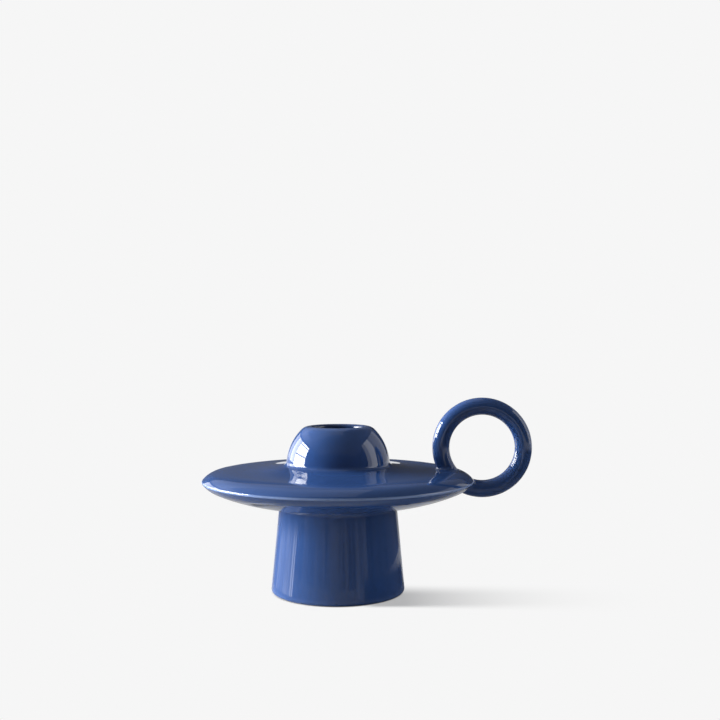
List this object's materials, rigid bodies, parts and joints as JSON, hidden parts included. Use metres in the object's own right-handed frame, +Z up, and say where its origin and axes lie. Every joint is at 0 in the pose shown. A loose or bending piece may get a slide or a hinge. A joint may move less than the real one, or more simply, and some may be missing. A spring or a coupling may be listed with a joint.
{
  "type": "chamberstick",
  "caption": "Glazed ceramic chamberstick: a tapered foot carries a wide drip pan with a domed candle socket and a ring-shaped finger loop at its edge.",
  "frame": {"origin": "on the axis of the foot, pan and candle socket, at the level that the foot stands on", "axes": "+Z up along the candle, +X from the axis to the finger loop, whose ring lies in the XZ plane"},
  "size_m": [0.153, 0.1256, 0.0898],
  "materials": {
    "blue_glaze": "gloss",
    "fired_slip": "matte"
  },
  "bodies": {
    "root": {"foot": "blue_glaze", "pan_base": "blue_glaze", "pan_top": "blue_glaze", "dome": "blue_glaze", "candle_well": "blue_glaze", "finger_loop": "blue_glaze", "neck_slip": "fired_slip", "rim_slip": "fired_slip", "dome_slip": "fired_slip", "well_slip": "fired_slip", "loop_slip": "fired_slip"}
  },
  "joints": []
}
